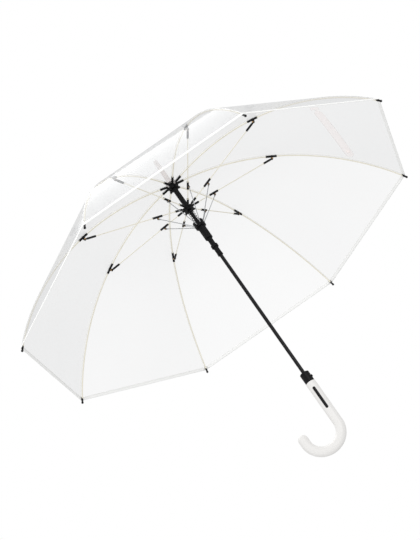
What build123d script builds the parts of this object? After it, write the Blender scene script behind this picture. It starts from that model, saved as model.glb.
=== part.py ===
from build123d import *
import math
import os

# Stick umbrella, open. Millimetres. +Z runs up the shaft towards the ferrule.
# The origin is on the shaft axis, in the middle of the handle's straight grip.
# Eight identical arms stand round the shaft at PHI(k). Each arm is built in the
# XZ plane (X is the radius) and turned to its place.

os.makedirs("parts", exist_ok=True)


def PHI(k):
    return 22.5 + 45.0 * (k - 1)


# --- main heights and radii -------------------------------------------------
SHAFT_R = 4.25
COLLAR_TOP, COLLAR_BOT = 80.0, 53.0
LEDGE, TAIL_FLOOR = 71.7, 46.0   # seat of the runner's ring, and the bottom of its tail's bore
ARC_Z, ARC_R, GRIP_R = -58.0, 43.0, 11.75
NOTCH = (10.0, 665.5)      # rib pivot ring at the top notch
STAR = (10.0, 596.0)       # stretcher pivot ring at the floating star
VJ = (260.0, 630.75)       # pivot where rib and stretcher cross
TJ = (78.9, 601.5)         # pivot where the wire strut meets the stretcher
CROWN = (12.0, 542.0)      # strut pivot on the runner
TIP = (525.0, 430.0)
N_ARMS = 8


def circle3(p, q, s):
    ax, ay, bx, by, cx, cy = *p, *q, *s
    d = 2 * (ax * (by - cy) + bx * (cy - ay) + cx * (ay - by))
    ux = ((ax**2 + ay**2) * (by - cy) + (bx**2 + by**2) * (cy - ay) + (cx**2 + cy**2) * (ay - by)) / d
    uy = ((ax**2 + ay**2) * (cx - bx) + (bx**2 + by**2) * (ax - cx) + (cx**2 + cy**2) * (bx - ax)) / d
    return ux, uy, math.hypot(ax - ux, ay - uy)


# the rib line is one shallow arc, a little above its pivots, through VR over the crossing
VR = (262.8, 637.0)
CX, CZ, RHO = circle3((20.0, 673.4), VR, TIP)


def ang(p):
    return math.atan2(p[1] - CZ, p[0] - CX)


def on_rib(a, off=0.0):
    return (CX + (RHO + off) * math.cos(a), CZ + (RHO + off) * math.sin(a))


def at_r(r, off=0.0):
    # angle on the rib arc whose radius from the shaft is r
    return math.acos((r - CX) / (RHO + off))


A_V = ang(VR)
A_IN = at_r(14.0)
A_SOCK = at_r(32.0)
A_V0 = A_V + 15.0 / RHO        # inner end of the crossing sleeve
A_V1 = A_V - 12.2 / RHO        # outer end of the crossing sleeve
A_FLEX = A_V - 13.0 / RHO      # start of the outer rod, the flex hinge
A_TIP = ang(TIP)
A_CAP = A_TIP + 12.0 / RHO
SOCK_R, CROSS_R, SLEEVE_R = 2.9, 2.75, 2.7  # notch sockets, crossing sleeves, stretcher sleeves
FO = 3.35
A_FILM0, A_FILM1 = at_r(8.6, FO), A_TIP + 4.5 / RHO


def P(p, y=0.0):
    return Vector(p[0], y, p[1])


def plane_at(p, d):
    # plane at p whose normal is the direction d, both in XZ
    return Plane(origin=P(p), x_dir=(0, 1, 0), z_dir=(d[0], 0, d[1]))


def tangent(a):
    return (math.sin(a), -math.cos(a))


def arc_rod(a0, a1, r):
    m = (a0 + a1) / 2
    path = Edge.make_three_point_arc(P(on_rib(a0)), P(on_rib(m)), P(on_rib(a1)))
    return sweep(plane_at(on_rib(a0), tangent(a0)) * Circle(r), path=Wire([path]))


def line_rod(p, q, r):
    d = (q[0] - p[0], q[1] - p[1])
    n = math.hypot(*d)
    return extrude(plane_at(p, (d[0] / n, d[1] / n)) * Circle(r), n)


def disc(p, r, y0, y1):
    # round plate lying in the arm's plane, from y0 to y1
    return extrude(Plane(origin=P(p, y1), x_dir=(1, 0, 0), z_dir=(0, -1, 0)) * Circle(r), y1 - y0)


def slab(pts, y0, y1):
    face = make_face(Polyline(*[P(p, y0) for p in pts], close=True))
    return extrude(face, amount=y1 - y0, dir=(0, 1, 0))


def hull_bar(p, q, r, y0, y1):
    # flat bar with round ends from p to q
    d = (q[0] - p[0], q[1] - p[1])
    n = math.hypot(*d)
    u = (d[0] / n, d[1] / n)
    w = (-u[1] * r, u[0] * r)
    pts = [(p[0] + w[0], p[1] + w[1]), (q[0] + w[0], q[1] + w[1]), (q[0] - w[0], q[1] - w[1]), (p[0] - w[0], p[1] - w[1])]
    return slab(pts, y0, y1) + disc(p, r, y0, y1) + disc(q, r, y0, y1)


def place(s, k):
    return Rot(0, 0, PHI(k)) * s


def save(s, name):
    export_step(s, f"parts/{name}.step")


# --- one arm, built once ------------------------------------------------------
# inner rib rod, from the notch socket to the crossing sleeve
inner = arc_rod(A_IN, A_V1, 1.5)

# black fittings of the inner rib: notch socket with its eye, crossing sleeve with its two ears and rivet
sock = arc_rod(A_IN, A_SOCK, SOCK_R)
eye = hull_bar(NOTCH, on_rib(at_r(15.5)), 2.2, -1.2, 1.2)
vs = arc_rod(A_V0, A_V1, CROSS_R)
ears = Part()
for s in (-1, 1):
    y0, y1 = (1.3, 2.2) if s > 0 else (-2.2, -1.3)
    ears += hull_bar(VJ, on_rib(A_V), 2.6, y0, y1)
rivet = disc(VJ, 1.0, -2.9, 2.9) + disc(VJ, 1.9, 2.2, 2.9) + disc(VJ, 1.9, -2.9, -2.2)
bridge = slab([on_rib(A_V + 2.6 / RHO, -1.6), on_rib(A_V - 2.6 / RHO, -1.6), on_rib(A_V - 2.6 / RHO, 0.6), on_rib(A_V + 2.6 / RHO, 0.6)], -2.2, 2.2)
joints = sock + eye + vs + ears + rivet + bridge - inner
joints -= disc(NOTCH, 0.9, -3, 3)

# outer rib rod with its tip cap
outer = arc_rod(A_FLEX, A_CAP, 1.5) + arc_rod(A_CAP, A_TIP, 2.3) + Pos(*P(on_rib(A_TIP - 1.6 / RHO))) * Sphere(2.9)

# stretcher: star sleeve with its eye, rod, strut clevis, tongue at the crossing
SO = 2.5
sdir = (VJ[0] - STAR[0], VJ[1] - STAR[1] - SO)
sn = math.hypot(*sdir)
sdir = (sdir[0] / sn, sdir[1] / sn)


def on_str(d, off=0.0):
    return (STAR[0] + sdir[0] * d - sdir[1] * off, STAR[1] + SO + sdir[1] * d + sdir[0] * off)


def str_at(r):
    return (r - STAR[0]) / sdir[0]


D_T = (TJ[0] - STAR[0]) * sdir[0] + (TJ[1] - STAR[1] - SO) * sdir[1]
stretcher = line_rod(on_str(6.0), on_str(sn - 6.0), 1.15)
stretcher += line_rod(on_str(5.6), on_str(22.5), SLEEVE_R)
stretcher += hull_bar(STAR, on_str(7.0), 2.0, -1.2, 1.2)
stretcher += line_rod(on_str(D_T - 12.5), on_str(D_T + 12.5), SLEEVE_R)
for s in (-1, 1):
    y0, y1 = (0.9, 1.8) if s > 0 else (-1.8, -0.9)
    stretcher += hull_bar(TJ, on_str(D_T), 2.0, y0, y1)
stretcher += disc(TJ, 0.8, -2.4, 2.4) + disc(TJ, 1.5, 1.8, 2.4) + disc(TJ, 1.5, -2.4, -1.8)
stretcher += line_rod(on_str(sn - 27.0), on_str(sn - 5.6), SLEEVE_R - 0.1)
stretcher += hull_bar(on_str(sn - 7.0), VJ, 1.9, -1.0, 1.0)
stretcher -= disc(VJ, 1.05, -3, 3)
stretcher -= disc(STAR, 0.9, -3, 3)

# wire strut: flat eyes on both ends
kd = (CROWN[0] - TJ[0], CROWN[1] - TJ[1])
kn = math.hypot(*kd)
ku = (kd[0] / kn, kd[1] / kn)
strut = line_rod((TJ[0] + ku[0] * 2.4, TJ[1] + ku[1] * 2.4), (CROWN[0] - ku[0] * 1.2, CROWN[1] - ku[1] * 1.2), 0.95)
strut += hull_bar(TJ, (TJ[0] + ku[0] * 4.0, TJ[1] + ku[1] * 4.0), 1.9, -0.55, 0.55)
strut += hull_bar(CROWN, (CROWN[0] - ku[0] * 3.0, CROWN[1] - ku[1] * 3.0), 1.6, -0.8, 0.8)
strut -= disc(TJ, 0.85, -3, 3)

# canopy panel: two half gores that meet over the rib. Each gore is bent one way only,
# so its film is a straight-ruled sheet whose edge on the middle line is the rib arc scaled by cos 22.5
C8 = math.cos(math.radians(22.5))
FILM = 0.3
NP = 10
prof = []
for i in range(NP + 1):
    a = A_FILM0 + (A_FILM1 - A_FILM0) * i / NP
    p = on_rib(a, FO)
    prof.append((p[0] * C8, p[1]))
top = [(p[0], p[1] + FILM) for p in prof]
outline = [Spline(*[P(p) for p in prof]), Line(P(prof[-1]), P(top[-1])), Spline(*[P(p) for p in reversed(top)]), Line(P(top[0]), P(prof[0]))]
gore_face = make_face(outline)


def half_gore(s):
    body = extrude(gore_face, amount=260, dir=(0, -s, 0))
    body -= Pos(250, 0, 550) * Box(560, 0.4, 400)
    body = Rot(0, 0, s * 22.5) * body
    keep = Pos(250, s * 150, 550) * Box(600, 300, 400)
    return body & keep


panel = half_gore(1) + half_gore(-1)

for k in range(1, N_ARMS + 1):
    save(place(inner, k), f"rib_inner_{k}")
    save(place(joints, k), f"rib_joints_{k}")
    save(place(outer, k), f"rib_outer_{k}")
    save(place(stretcher, k), f"stretcher_{k}")
    save(place(strut, k), f"strut_{k}")
    save(place(panel, k), f"canopy_panel_{k}")


# --- pieces on the shaft --------------------------------------------------------
def tube(r, z0, z1, bore=0.0):
    s = Pos(0, 0, (z0 + z1) / 2) * Cylinder(r, z1 - z0)
    if bore:
        s -= Pos(0, 0, (z0 + z1) / 2) * Cylinder(bore, z1 - z0 + 2)
    return s


SHAFT_BOT, SHAFT_TOP = 12.0, 684.0
shaft = tube(SHAFT_R, SHAFT_BOT, SHAFT_TOP)

# top notch: slotted ring with its wire, sitting on a long tube that stops the star
notch = tube(7.2, 659.0, 678.5) + tube(12.5, 660.5, 668.5) + tube(6.25, 600.4, 659.0)
for k in range(1, N_ARMS + 1):
    notch -= place(Pos(17.4, 0, 659) * Box(20, 3.0, 34), k)
notch += Pos(0, 0, NOTCH[1]) * Torus(10.0, 0.6)
notch -= tube(SHAFT_R, 600, 690)

# floating star: slotted ring with its wire, free to slide on the shaft
star = tube(6.0, 587.5, 600.0) + tube(12.5, 588.0, 599.0)
for k in range(1, N_ARMS + 1):
    star -= place(Pos(17.2, 0, 602) * Box(20, 3.0, 19.6), k)
star += Pos(0, 0, STAR[1]) * Torus(10.0, 0.6)
star -= tube(SHAFT_R + 0.05, 500, 690)

# damper spring between star and runner
SP0, SP1, TURNS = 538.3, 587.2, 8
sp_path = Helix(pitch=(SP1 - SP0 - 1.6) / TURNS, height=SP1 - SP0 - 1.6, radius=6.9, center=(0, 0, SP0 + 0.8))
spring = sweep(Plane(origin=sp_path @ 0, z_dir=sp_path % 0) * Circle(0.75), path=Wire([sp_path]), is_frenet=True)

# runner: crown with strut slots, body, neck, ring flange, flared tail
runner = tube(13.5, 534.0, 551.0) + tube(9.5, 497.0, 534.0) + tube(6.25, 475.0, 497.0) + tube(8.75, 468.0, 475.0) + tube(6.15, 452.0, 468.0)
runner += Pos(0, 0, 448.0) * Cone(6.8, 6.15, 8.0)
for k in range(1, N_ARMS + 1):
    runner -= place(Pos(19.0, 0, 543) * Box(20, 2.6, 16), k)
runner -= tube(SHAFT_R + 0.05, 400, 600)
runner -= tube(8.2, 538.0, 560.0)   # seat of the damper spring

# handle: crook tube with a rounded free end
hp = Wire([
    Edge.make_line((0, 0, COLLAR_BOT), (0, 0, ARC_Z)),
    Edge.make_three_point_arc((0, 0, ARC_Z), (ARC_R, 0, ARC_Z - ARC_R), (2 * ARC_R, 0, ARC_Z)),
    Edge.make_line((2 * ARC_R, 0, ARC_Z), (2 * ARC_R, 0, ARC_Z + 10)),
])
handle = sweep(Plane(origin=(0, 0, COLLAR_BOT), x_dir=(1, 0, 0), z_dir=(0, 0, -1)) * Circle(GRIP_R), path=hp)
handle += Pos(2 * ARC_R, 0, ARC_Z + 10) * Sphere(GRIP_R)
handle -= tube(SHAFT_R, SHAFT_BOT, 60)
handle -= tube(7.3, TAIL_FLOOR, 60)

# pill inlay let into the side of the grip
INL_A = 87.0
INL_L, INL_W, INL_Z = 60.0, 7.0, 8.0
pill_sk = Plane(origin=(0, 0, 0), x_dir=(0, 0, 1), z_dir=(1, 0, 0)) * SlotOverall(INL_L, INL_W)
pill_cut = extrude(pill_sk, 20)
pill_cut = Rot(0, 0, INL_A) * Pos(0, 0, INL_Z) * pill_cut
shell = tube(GRIP_R, -45, 53, GRIP_R - 0.7)
inlay = pill_cut & shell
handle -= inlay

# collar: cup mouth that takes the runner's tail
collar = tube(11.25, COLLAR_BOT, COLLAR_TOP)
collar = fillet(collar.edges().group_by(Axis.Z)[-1], 0.8)
collar -= tube(9.3, LEDGE, COLLAR_TOP + 1)
collar -= tube(7.3, 50, COLLAR_TOP)
# button well on the side away from the crook
BTN_Z = 66.0
collar -= Pos(-9.6, 0, BTN_Z) * Rot(0, 90, 0) * Cylinder(3.3, 6.0)

# push button in its well, on a short stem guided by the collar wall
button = Pos(-11.4, 0, BTN_Z) * Rot(0, 90, 0) * Cylinder(2.9, 3.8)

# ferrule: washer and cap above the canopy, long clear spike, round end with a short straight band below it
ferrule = tube(13.0, 678.5, 681.2) + Pos(0, 0, 684.2) * Cone(10.5, 6.2, 6.0) + Pos(0, 0, 716.5) * Cone(6.2, 4.6, 59.0)
ferrule += tube(5.2, 745.0, 753.0) + Pos(0, 0, 753.0) * Sphere(5.2)
ferrule -= tube(SHAFT_R, 670, SHAFT_TOP)

# closing strap, hanging from the hem between arms 3 and 4, with the small tab that sews it on
HEM_R = on_rib(A_FILM1, FO)[0] * C8
HEM_Z = on_rib(A_FILM1, FO)[1]
STRAP_R, STRAP_TOP, STRAP_END = HEM_R - 3.2, HEM_Z - 10.6, HEM_Z - 150.6
tab = Pos(STRAP_R, 0, HEM_Z - 4.6) * Box(0.8, 24.0, 7.0)
# its upper end is gathered to a narrow neck, which swings under the tab
strap_line = [(-3.0, STRAP_TOP), (3.0, STRAP_TOP), (12.0, STRAP_TOP - 9.0), (12.0, STRAP_END), (-12.0, STRAP_END), (-12.0, STRAP_TOP - 9.0)]
strap = extrude(make_face(Polyline(*[(STRAP_R - 0.4, y, z) for y, z in strap_line], close=True)), amount=0.8, dir=(1, 0, 0))
tab = Rot(0, 0, 135.0) * tab
strap = Rot(0, 0, 135.0) * strap

save(shaft, "shaft")
save(notch, "top_notch")
save(star, "star_hub")
save(spring, "damper_spring")
save(runner, "runner")
save(handle, "handle")
save(inlay, "handle_inlay")
save(collar, "handle_collar")
save(button, "release_button")
save(ferrule, "ferrule")
save(tab, "strap_tab")
save(strap, "tie_strap")
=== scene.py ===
import math

import bmesh
import bpy
from mathutils import Matrix, Vector


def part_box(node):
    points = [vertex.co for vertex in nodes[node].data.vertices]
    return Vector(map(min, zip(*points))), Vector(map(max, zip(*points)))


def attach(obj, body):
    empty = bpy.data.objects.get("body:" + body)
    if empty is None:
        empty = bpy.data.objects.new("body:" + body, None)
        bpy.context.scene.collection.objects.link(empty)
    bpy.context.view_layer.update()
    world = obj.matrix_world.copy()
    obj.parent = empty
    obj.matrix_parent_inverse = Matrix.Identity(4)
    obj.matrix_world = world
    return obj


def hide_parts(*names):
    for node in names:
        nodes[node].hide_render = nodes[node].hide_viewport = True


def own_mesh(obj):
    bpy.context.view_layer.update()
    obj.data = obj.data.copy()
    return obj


# Clear stick umbrella. Metres, +Z up the shaft, the grip's middle at the origin.
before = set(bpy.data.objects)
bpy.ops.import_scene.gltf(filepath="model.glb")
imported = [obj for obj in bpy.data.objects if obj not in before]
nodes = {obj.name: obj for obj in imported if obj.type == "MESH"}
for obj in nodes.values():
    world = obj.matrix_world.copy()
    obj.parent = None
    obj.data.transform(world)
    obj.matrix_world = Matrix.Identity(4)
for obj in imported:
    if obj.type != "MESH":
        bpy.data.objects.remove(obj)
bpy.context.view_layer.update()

MM = 0.001
ARMS = range(1, 9)
HALF = math.radians(22.5)
C8 = math.cos(HALF)

# the rib line, the same shallow arc as the CAD: millimetres, radius and height
OVER_CROSS = (262.8, 637.0)
CROSS, STRUT_TOP = (260.0, 630.75), (78.9, 601.5)
TIP = (525.0, 430.0)
FILM_OFF = 3.5           # film above the rib line
STRAP_AZIMUTH = 135.0    # middle of the panel between arms 3 and 4
STRAP_HALF = 12.0        # half of the strap's width


def circle3(p, q, s):
    (ax, ay), (bx, by), (cx, cy) = p, q, s
    d = 2 * (ax * (by - cy) + bx * (cy - ay) + cx * (ay - by))
    a2, b2, c2 = ax * ax + ay * ay, bx * bx + by * by, cx * cx + cy * cy
    ux = (a2 * (by - cy) + b2 * (cy - ay) + c2 * (ay - by)) / d
    uy = (a2 * (cx - bx) + b2 * (ax - cx) + c2 * (bx - ax)) / d
    return ux, uy, math.hypot(ax - ux, ay - uy)


CX, CZ, RHO = circle3((20.0, 673.4), OVER_CROSS, TIP)
A_V = math.atan2(OVER_CROSS[1] - CZ, OVER_CROSS[0] - CX)
A_FLEX = A_V - 13.0 / RHO
A_TIP = math.atan2(TIP[1] - CZ, TIP[0] - CX)


def on_rib(a, off=0.0):
    return CX + (RHO + off) * math.cos(a), CZ + (RHO + off) * math.sin(a)


A_TOP = math.acos((8.8 - CX) / (RHO + FILM_OFF))
A_HEM = A_TIP + 4.5 / RHO


def azimuth(k):
    return math.radians(22.5 + 45.0 * (k - 1))


def turn(k):
    return Matrix.Rotation(azimuth(k), 4, "Z")


# ---------------------------------------------------------------- materials
def material(name, color, rough, metallic=0.0, bump=0.0, bump_scale=400.0,
             vary=0.0, vary_scale=40.0, coat=0.0, gloss=0.5):
    """A plain surface, with a noise bump and a slow drift in tone where asked for."""
    m = bpy.data.materials.new(name)
    m.use_nodes = True
    t = m.node_tree
    b = t.nodes["Principled BSDF"]
    b.inputs["Base Color"].default_value = (*color, 1)
    b.inputs["Roughness"].default_value = rough
    b.inputs["Metallic"].default_value = metallic
    b.inputs["Coat Weight"].default_value = coat
    b.inputs["Specular IOR Level"].default_value = gloss
    b.inputs["Coat Roughness"].default_value = 0.12
    c = t.nodes.new("ShaderNodeTexCoord")
    if vary:
        n = t.nodes.new("ShaderNodeTexNoise")
        n.inputs["Scale"].default_value = vary_scale
        n.inputs["Detail"].default_value = 4
        r = t.nodes.new("ShaderNodeValToRGB")
        r.color_ramp.elements[0].position = 0.3
        r.color_ramp.elements[1].position = 0.7
        r.color_ramp.elements[0].color = (*[x * (1 - vary) for x in color], 1)
        r.color_ramp.elements[1].color = (*[min(1, x * (1 + vary)) for x in color], 1)
        t.links.new(c.outputs["Object"], n.inputs["Vector"])
        t.links.new(n.outputs["Fac"], r.inputs["Fac"])
        t.links.new(r.outputs["Color"], b.inputs["Base Color"])
    if bump:
        n = t.nodes.new("ShaderNodeTexNoise")
        n.inputs["Scale"].default_value = bump_scale
        n.inputs["Detail"].default_value = 3
        u = t.nodes.new("ShaderNodeBump")
        u.inputs["Strength"].default_value = bump
        u.inputs["Distance"].default_value = 0.0004
        t.links.new(c.outputs["Object"], n.inputs["Vector"])
        t.links.new(n.outputs["Fac"], u.inputs["Height"])
        t.links.new(u.outputs["Normal"], b.inputs["Normal"])
    return m


def math_node(t, op, a, b):
    n = t.nodes.new("ShaderNodeMath")
    n.operation = op
    for i, v in enumerate((a, b)):
        if isinstance(v, (int, float)):
            n.inputs[i].default_value = v
        elif v is not None:
            t.links.new(v, n.inputs[i])
    return n.outputs[0]


def banded(name, base, dark, bands, rough=0.38):
    """A rod of one colour with dark sleeves moulded on it, placed by their distance from the shaft."""
    m = material(name, base, rough, bump=0.05, bump_scale=900, gloss=0.2)
    t = m.node_tree
    b = t.nodes["Principled BSDF"]
    c = t.nodes.new("ShaderNodeTexCoord")
    x = t.nodes.new("ShaderNodeSeparateXYZ")
    t.links.new(c.outputs["Object"], x.inputs[0])
    xx = math_node(t, "MULTIPLY", x.outputs[0], x.outputs[0])
    yy = math_node(t, "MULTIPLY", x.outputs[1], x.outputs[1])
    r = math_node(t, "SQRT", math_node(t, "ADD", xx, yy), None)
    total = None
    for lo, hi in bands:
        above = math_node(t, "GREATER_THAN", r, lo * MM)
        below = math_node(t, "LESS_THAN", r, hi * MM)
        inside = math_node(t, "MULTIPLY", above, below)
        total = inside if total is None else math_node(t, "ADD", total, inside)
    n = t.nodes.new("ShaderNodeTexNoise")
    n.inputs["Scale"].default_value = 55
    t.links.new(c.outputs["Object"], n.inputs["Vector"])
    tint = t.nodes.new("ShaderNodeMix")
    tint.data_type = "RGBA"
    tint.inputs["A"].default_value = (*[v * 0.93 for v in base], 1)
    tint.inputs["B"].default_value = (*base, 1)
    t.links.new(n.outputs["Fac"], tint.inputs["Factor"])
    mix = t.nodes.new("ShaderNodeMix")
    mix.data_type = "RGBA"
    mix.inputs["B"].default_value = (*dark, 1)
    t.links.new(total, mix.inputs["Factor"])
    t.links.new(tint.outputs["Result"], mix.inputs["A"])
    t.links.new(mix.outputs["Result"], b.inputs["Base Color"])
    return m


def film(name, color, low, high, rough, vary=0.05):
    """Thin clear film: nearly invisible face on, more solid where it turns edge on."""
    m = material(name, color, rough, bump=0.03, bump_scale=14)
    t = m.node_tree
    b = t.nodes["Principled BSDF"]
    lw = t.nodes.new("ShaderNodeLayerWeight")
    lw.inputs["Blend"].default_value = 0.32
    c = t.nodes.new("ShaderNodeTexCoord")
    n = t.nodes.new("ShaderNodeTexNoise")
    n.inputs["Scale"].default_value = 5.0
    n.inputs["Detail"].default_value = 2
    t.links.new(c.outputs["Object"], n.inputs["Vector"])
    r = t.nodes.new("ShaderNodeMapRange")
    r.inputs["To Min"].default_value = low
    r.inputs["To Max"].default_value = high
    t.links.new(lw.outputs["Facing"], r.inputs["Value"])
    wob = math_node(t, "MULTIPLY_ADD", n.outputs["Fac"], vary)
    wob.node.inputs[2].default_value = -vary / 2
    a = math_node(t, "ADD", r.outputs[0], wob)
    t.links.new(a, b.inputs["Alpha"])
    return m


IVORY = (0.88, 0.84, 0.72)
BLACK = (0.006, 0.006, 0.007)
M_FILM = film("clear_film", (0.54, 0.55, 0.56), 0.10, 0.48, 0.12)
M_SEAM = film("welded_seam", (0.90, 0.90, 0.89), 0.14, 0.40, 0.18)
M_HEM = material("hem_white", (0.97, 0.97, 0.96), 0.5, bump=0.05, bump_scale=500, vary=0.01)
M_STRAP = film("strap_film", (0.84, 0.74, 0.72), 0.10, 0.35, 0.35, 0.02)
M_SPIKE = film("spike_clear", (0.86, 0.80, 0.78), 0.45, 0.85, 0.22, 0.04)
M_BLACK = material("black_moulding", BLACK, 0.45,
                   bump=0.1, bump_scale=900, vary=0.2, vary_scale=90, gloss=0.14)
M_GLOSS = material("black_gloss", (0.006, 0.006, 0.007), 0.25,
                   bump=0.03, bump_scale=300, vary=0.15, gloss=0.25)
M_SHAFT = material("black_shaft", (0.007, 0.007, 0.008), 0.3,
                   bump=0.03, bump_scale=500, vary=0.2, vary_scale=25, gloss=0.22)
M_STEEL = material("zinc_wire", (0.42, 0.43, 0.44), 0.34,
                   metallic=0.9, bump=0.2, bump_scale=1500, vary=0.12, vary_scale=200)
M_SPRING = material("black_spring", (0.012, 0.012, 0.013), 0.35,
                    bump=0.1, bump_scale=900, vary=0.1, gloss=0.3)
M_BRASS = material("rivet_bronze", (0.50, 0.33, 0.17), 0.33,
                   metallic=1.0, bump=0.2, bump_scale=1600, vary=0.15, vary_scale=400)
M_HANDLE = material("satin_white", (0.81, 0.80, 0.785), 0.45,
                    bump=0.02, bump_scale=45, vary=0.012, vary_scale=14, gloss=0.35)
M_INNER = material("rib_fibreglass", IVORY, 0.36,
                   bump=0.05, bump_scale=900, vary=0.04, vary_scale=60, gloss=0.3)
M_OUTER = banded("rib_with_cap", IVORY, BLACK, [(518.4, 540.0)])
M_STRETCH = banded("stretcher_sleeves", IVORY, BLACK, [(0.0, 32.4), (65.7, 90.6), (233.2, 270.0)])

LOOKS = {
    "shaft": M_SHAFT, "top_notch": M_BLACK, "star_hub": M_BLACK, "runner": M_BLACK, "handle": M_HANDLE,
    "handle_inlay": M_GLOSS, "handle_collar": M_BLACK, "release_button": M_GLOSS, "ferrule": M_SPIKE,
}
for k in ARMS:
    LOOKS[f"rib_inner_{k}"] = M_INNER
    LOOKS[f"rib_joints_{k}"] = M_BLACK
    LOOKS[f"rib_outer_{k}"] = M_OUTER
    LOOKS[f"stretcher_{k}"] = M_STRETCH
    LOOKS[f"strut_{k}"] = M_STEEL
for name, m in LOOKS.items():
    slots = nodes[name].data.materials
    slots.clear()
    slots.append(m)


# ---------------------------------------------------------------- mesh tools
def piece(name, verts, faces, mat, smooth=True):
    me = bpy.data.meshes.new(name)
    me.from_pydata([Vector(v) * MM for v in verts], [], faces)
    me.validate()
    me.update()
    ob = bpy.data.objects.new(name, me)
    bpy.context.scene.collection.objects.link(ob)
    me.materials.append(mat)
    for p in me.polygons:
        p.use_smooth = smooth
    return ob


def grid(rows, closed_cols=False):
    """Faces over a list of equal rows of points."""
    verts = [p for r in rows for p in r]
    n = len(rows[0])
    faces = []
    for i in range(len(rows) - 1):
        for j in range(n if closed_cols else n - 1):
            a, b = i * n + j, i * n + (j + 1) % n
            faces.append((a, b, b + n, a + n))
    return verts, faces


def area_m2(ob):
    return sum(p.area for p in ob.data.polygons)


# across one panel, from middle line to middle line: shares of the half width, closer together at the rib
ACROSS = [-1.0, -0.84, -0.66, -0.46, -0.26, -0.10, -0.02, 0.0, 0.02, 0.10, 0.26, 0.46, 0.66, 0.84, 1.0]


def panel_point(a, u, off):
    """Point of a panel in its own arm's frame: a runs down the rib arc, u across, in shares."""
    r, z = on_rib(a, off)
    m = r * C8
    w = m * math.tan(HALF)
    s = 1 if u >= 0 else -1
    q = abs(u)
    # the straight ruling runs from the rib (q=0) to the middle line (q=1)
    rib = Vector((r, 0.0, z))
    mid = Vector((m * C8, s * m * math.sin(HALF), z))
    return rib.lerp(mid, q)


def chord(a0, a1):
    """Start of a stretch of rib arc and the unit vector along its chord."""
    p, q = on_rib(a0), on_rib(a1)
    n = math.hypot(q[0] - p[0], q[1] - p[1])
    return p, ((q[0] - p[0]) / n, (q[1] - p[1]) / n)


def fold_axis(k, s, along):
    """Across the rib, square to its chord, on the line from the rib to the panel's middle line."""
    tx, tz = along
    dx, dy = -math.sin(HALF) ** 2, s * math.sin(HALF) * C8
    inward = dx * tz * tz, -dx * tx * tz
    return (turn(k) @ Vector((inward[0], dy, inward[1]))).normalized()


def halves(name, k, a0, a1, rows):
    """The two half gores of one panel, which meet under the seam on the rib."""
    for s, side in ((-1, "a"), (1, "b")):
        shares = [u for u in ACROSS if u * s >= 0]
        angles = [a0 + (a1 - a0) * i / rows for i in range(rows + 1)]
        table = [[turn(k) @ panel_point(a, u, FILM_OFF) for u in shares] for a in angles]
        yield s, side, piece(f"{name}_{side}_{k}", *grid(table), M_FILM)


HEM_BAND = 7.0 / RHO
# the hem's section: shares of the band up from the film's edge, and height off the film
HEM_EDGE = [
    (1.0, 0.0), (1.0, 0.7), (0.5, 0.9), (0.09, 0.8), (-0.13, 0.1),
    (0.09, -0.6), (0.5, -0.7), (1.0, -0.5), (1.0, 0.0),
]
for k in ARMS:
    # welded seams along the rib
    seams = []
    for name, a0, a1, n in (
        (f"seam_inner_{k}", A_TOP, A_FLEX, 14),
        (f"seam_outer_{k}", A_FLEX, A_HEM + HEM_BAND, 16),
    ):
        table = []
        for i in range(n + 1):
            a = a0 + (a1 - a0) * i / n
            r = on_rib(a)[0]
            w = min(2.6, r * 0.2)
            profile = (
                (-w, 0.02), (-w, 0.28), (-w * 0.5, 0.42), (0.0, 0.48),
                (w * 0.5, 0.42), (w, 0.28), (w, 0.02),
            )
            across = r * math.sin(HALF)
            table.append([turn(k) @ panel_point(a, y / across, FILM_OFF + up) for y, up in profile])
        seam = piece(name, *grid(table), M_SEAM)
        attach(seam, f"rib_{k}" if "inner" in name else f"outer_{k}")
        seams.append(seam)
    for zone, a0, a1, rows, seam in (
        ("inner", A_TOP, A_FLEX, 18, seams[0]),
        ("outer", A_FLEX, A_HEM, 22, seams[1]),
    ):
        start, along = chord(a0, a1)
        body = f"rib_{k}" if zone == "inner" else f"outer_{k}"
        for s, side, ob in halves(f"film_{zone}", k, a0, a1, rows):
            edged = [ob]
            if zone == "outer":
                # hem: a folded white band with a rolled edge
                shares = [u for u in ACROSS if u * s >= 0]
                table = [
                    [turn(k) @ panel_point(A_HEM + HEM_BAND * da, u, FILM_OFF + lift) for u in shares]
                    for da, lift in HEM_EDGE
                ]
                edged.append(piece(f"hem_{side}_{k}", *grid(table), M_HEM))
            for part in edged:
                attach(part, body)
                fold_axis(k, s, along)
                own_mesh(part)
            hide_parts(f"canopy_panel_{k}")
            wide = on_rib(a1, FILM_OFF)[0] * math.sin(HALF) * MM
            area_m2(ob)


# ---------------------------------------------------------------- rivets
def rivet(name, k, r, z, y_face, radius, dome, body, slot_name):
    """A pair of domed rivet heads, one on each side of the arm."""
    verts, faces = [], []
    ring = 16
    prof = [
        (radius, 0.0), (radius, dome * 0.25), (radius * 0.86, dome * 0.62),
        (radius * 0.6, dome * 0.87), (radius * 0.3, dome * 0.98),
    ]
    for s in (-1, 1):
        base = len(verts)
        for pr, ph in prof:
            for i in range(ring):
                t = 2 * math.pi * i / ring
                point = Vector((r + pr * math.cos(t), s * (y_face + ph), z + pr * math.sin(t)))
                verts.append(turn(k) @ point)
        verts.append(turn(k) @ Vector((r, s * (y_face + dome), z)))
        for i in range(len(prof) - 1):
            for j in range(ring):
                a, b = base + i * ring + j, base + i * ring + (j + 1) % ring
                f = (a, b, b + ring, a + ring)
                faces.append(f if s < 0 else f[::-1])
        last, tip = base + (len(prof) - 1) * ring, len(verts) - 1
        for j in range(ring):
            f = (last + j, last + (j + 1) % ring, tip)
            faces.append(f if s < 0 else f[::-1])
        f = tuple(base + j for j in range(ring))
        faces.append(f[::-1] if s < 0 else f)
    ob = piece(name, verts, faces, M_BRASS)
    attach(ob, body)
    return ob


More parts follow.
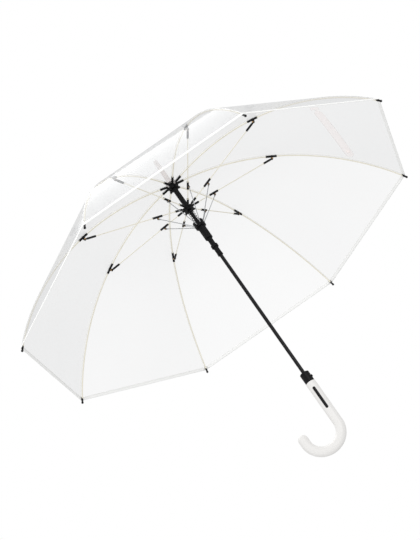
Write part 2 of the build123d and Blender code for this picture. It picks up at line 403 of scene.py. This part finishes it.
for k in ARMS:
    rivet(f"rivet_cross_{k}", k, *CROSS, 2.25, 2.05, 1.1, f"rib_{k}", "black_fitting")
    rivet(f"rivet_strut_{k}", k, *STRUT_TOP, 1.85, 1.65, 0.9, f"stretch_{k}", "black_fitting")

# ---------------------------------------------------------------- damper spring
lo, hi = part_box("damper_spring")
turns, mean_r, wire_r = 8, 6.9, 0.75
z0, z1 = lo[2] / MM + wire_r, hi[2] / MM - wire_r
steps, ring = turns * 28, 8
table = []
for i in range(steps + 1):
    t = i / steps
    # the end coils lie close together, as on a ground spring
    ease = t - 0.035 * math.sin(2 * math.pi * t)
    z = z0 + (z1 - z0) * ease
    a = 2 * math.pi * turns * t
    out = Vector((math.cos(a), math.sin(a), 0))
    c = out * mean_r + Vector((0, 0, z))
    section = [2 * math.pi * j / ring for j in range(ring)]
    up = Vector((0, 0, 1))
    table.append([c + out * wire_r * math.cos(q) + up * wire_r * math.sin(q) for q in section])
verts, faces = grid(table, closed_cols=True)
faces.append(tuple(range(ring))[::-1])
faces.append(tuple(len(verts) - ring + j for j in range(ring)))
coil = piece("spring_coil", verts, faces, M_SPRING)
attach(coil, "runner")
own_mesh(coil)
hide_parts("damper_spring")

# ---------------------------------------------------------------- closing strap
# It hangs from the middle of the hem between arms 3 and 4, gathered to a neck at its upper end.
lo_s, hi_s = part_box("tie_strap")
top_z, bot_z = hi_s[2] / MM, lo_s[2] / MM
strap_az = math.radians(STRAP_AZIMUTH)
cx, cy = (lo_s[0] + hi_s[0]) / 2 / MM, (lo_s[1] + hi_s[1]) / 2 / MM
out = Vector((math.cos(strap_az), math.sin(strap_az), 0))
side = Vector((-math.sin(strap_az), math.cos(strap_az), 0))


def ribbon(name, z_hi, z_lo, half_w, mat, rows, thick, wave, round_end, neck=0.0):
    front, back = [], []
    cols = 8
    for i in range(rows + 1):
        t = i / rows
        z = z_hi + (z_lo - z_hi) * t
        w = half_w
        if neck:
            w *= min(1.0, 0.25 + 0.75 * (z_hi - z) / neck)
        left = (z - z_lo) / half_w
        if round_end and left < 1:
            w = half_w * max(0.12, math.sqrt(max(0.0, 1 - (1 - left) ** 2)))
        f_row, b_row = [], []
        for j in range(cols + 1):
            s = -1 + 2 * j / cols
            bow = wave * (math.sin(3.1 * t + 0.4) * 1.0 - 0.8 * s * s * t)
            p = Vector((cx, cy, z)) + side * (s * w) + out * bow
            f_row.append(p + out * thick)
            b_row.append(p - out * thick)
        front.append(f_row)
        back.append(b_row)
    rows_all = [f + b[::-1] for f, b in zip(front, back)]
    v, f = grid(rows_all, closed_cols=True)
    n = len(rows_all[0])
    f.append(tuple(range(n))[::-1])
    f.append(tuple(len(v) - n + j for j in range(n)))
    return piece(name, v, f, mat)


strap = ribbon("strap_band", top_z, bot_z, STRAP_HALF, M_STRAP, 48, 0.3, 1.6, True, 9.0)
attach(strap, "strap")
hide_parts("tie_strap")
lo_t, hi_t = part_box("strap_tab")
tab = ribbon("strap_sewn_end", hi_t[2] / MM, lo_t[2] / MM, STRAP_HALF, M_STRAP, 6, 0.45, 0.5, False)
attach(tab, "tab")
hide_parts("strap_tab")

# snap button on the strap's lower end
prof = [
    (0.0, 1.5), (1.6, 1.45), (3.0, 1.25), (4.2, 0.9),
    (4.9, 0.35), (5.0, -0.6), (4.2, -1.0), (0.0, -1.0),
]
ring = 24
centre = Vector((cx, cy, bot_z + 16.0))
angles = [2 * math.pi * j / ring for j in range(ring)]
rows = [
    [centre + out * h + side * (r * math.cos(q)) + Vector((0, 0, r * math.sin(q))) for q in angles]
    for r, h in prof
]
M_SNAP = material("snap_clear", (0.86, 0.80, 0.78), 0.3, coat=0.4, vary=0.05)
snap = piece("strap_snap", *grid(rows, closed_cols=True), M_SNAP)
bm = bmesh.new()
bm.from_mesh(snap.data)
bmesh.ops.remove_doubles(bm, verts=bm.verts, dist=1e-6)
bmesh.ops.recalc_face_normals(bm, faces=bm.faces)
bm.to_mesh(snap.data)
bm.free()
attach(snap, "strap")


# ---------------------------------------------------------------- stage, light, camera
def look(ob, target):
    d = (Vector(target) - ob.location).normalized()
    ob.rotation_mode = "QUATERNION"
    ob.rotation_quaternion = d.to_track_quat("-Z", "Y")


def area_light(name, loc, target, size, power):
    li = bpy.data.lights.new(name, "AREA")
    li.shape = "RECTANGLE"
    li.size, li.size_y = size
    li.energy = power
    ob = bpy.data.objects.new(name, li)
    ob.location = loc
    bpy.context.scene.collection.objects.link(ob)
    look(ob, target)
    ob.visible_camera = False
    return ob


FLOOR_Z = -2.4
FLOOR_HALF = 40.0
me = bpy.data.meshes.new("floor")
corners = [(-FLOOR_HALF, -FLOOR_HALF), (FLOOR_HALF, -FLOOR_HALF), (FLOOR_HALF, FLOOR_HALF), (-FLOOR_HALF, FLOOR_HALF)]
me.from_pydata([(x, y, FLOOR_Z) for x, y in corners], [], [(0, 1, 2, 3)])
floor = bpy.data.objects.new("floor", me)
bpy.context.scene.collection.objects.link(floor)
me.materials.append(material("floor_pale", (0.86, 0.86, 0.86), 0.7, vary=0.01, vary_scale=0.5))

world = bpy.data.worlds.new("studio")
bpy.context.scene.world = world
world.use_nodes = True
t = world.node_tree
bg = t.nodes["Background"]
bg.inputs["Color"].default_value = (1.0, 1.0, 1.0, 1)
path = t.nodes.new("ShaderNodeLightPath")
strength = t.nodes.new("ShaderNodeMapRange")
strength.inputs["To Min"].default_value = 0.68
strength.inputs["To Max"].default_value = 1.0
t.links.new(path.outputs["Is Camera Ray"], strength.inputs["Value"])
t.links.new(strength.outputs[0], bg.inputs["Strength"])

MID = (0.0, 0.0, 0.4)
area_light("key", (-1.6, 3.0, 0.6), MID, (1.6, 1.6), 40)
area_light("top", (0.6, -0.6, 3.2), (0, 0, 0.5), (2.4, 2.4), 55)
area_light("side", (2.6, 1.6, -0.6), MID, (0.5, 2.0), 22)

cam_data = bpy.data.cameras.new("camera")
cam_data.lens = 101.1
cam_data.sensor_width = 36.0
cam_data.clip_start, cam_data.clip_end = 0.05, 200.0
cam = bpy.data.objects.new("camera", cam_data)
bpy.context.scene.collection.objects.link(cam)
cam.location = (0.029, 3.1767, -1.1588)
cam.rotation_mode = "XYZ"
cam.rotation_euler = [math.radians(v) for v in (121.288, 30.667, -162.561)]
bpy.context.scene.camera = cam
bpy.context.scene.view_settings.view_transform = "Standard"
